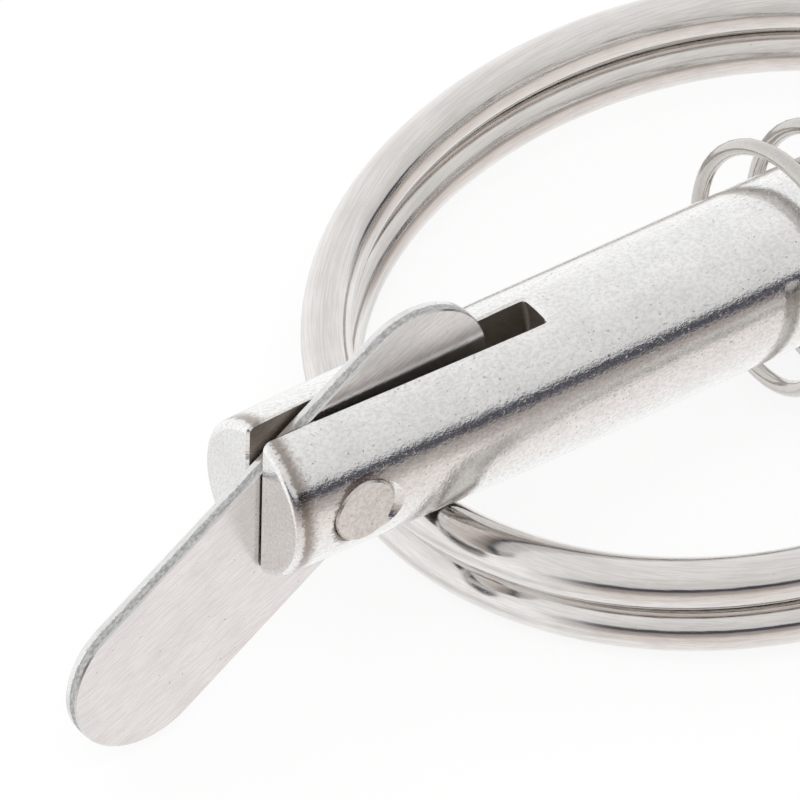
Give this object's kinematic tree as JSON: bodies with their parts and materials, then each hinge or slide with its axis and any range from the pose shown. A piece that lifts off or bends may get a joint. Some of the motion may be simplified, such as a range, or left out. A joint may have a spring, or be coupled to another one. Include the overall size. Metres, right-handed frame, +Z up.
{
  "type": "quick release pin",
  "caption": "Slotted round pin with a pivoting drop nose on a cross rivet, a conical wire spring on the shank and a split ring through a cross hole in the head.",
  "frame": {"origin": "on the table under the middle of the part's box, lying as it comes to rest on its ring and head", "axes": "+X from the nose to the head, sloping down a little with the shaft; +Z up from the table; +Y across"},
  "size_m": [0.0512, 0.0326, 0.013],
  "materials": {
    "polished_steel": "polished",
    "tab_steel": "satin",
    "spring_steel": "bright drawn wire",
    "ring_steel": "tumbled bright"
  },
  "bodies": {
    "pin": {"pin_shaft": "polished_steel", "pivot_rivet": "polished_steel"},
    "nose": {"drop_nose": "tab_steel"},
    "coil": {"spring": "spring_steel"},
    "ring": {"split_ring": "ring_steel"}
  },
  "joints": [
    {"name": "nose_pivot", "type": "hinge", "parent": "pin", "child": "nose", "pos_m": [-0.01404, -0.00133, 0.00799], "axis": [0.0065, 0.9985, 0.0545], "range_deg": [-56, 34]},
    {"name": "ring_swing", "type": "hinge", "parent": "pin", "child": "ring", "pos_m": [0.02069, -0.00132, 0.00364], "axis": [0, -1, -0.0026], "range_deg": [0, 335.5]},
    {"name": "spring_press", "type": "slide", "parent": "pin", "child": "coil", "axis": [0.9923, 0.0003, -0.1241], "range_m": [0, 0.008], "stiffness_N_per_m": 150, "deforming": ["spring"]}
  ]
}
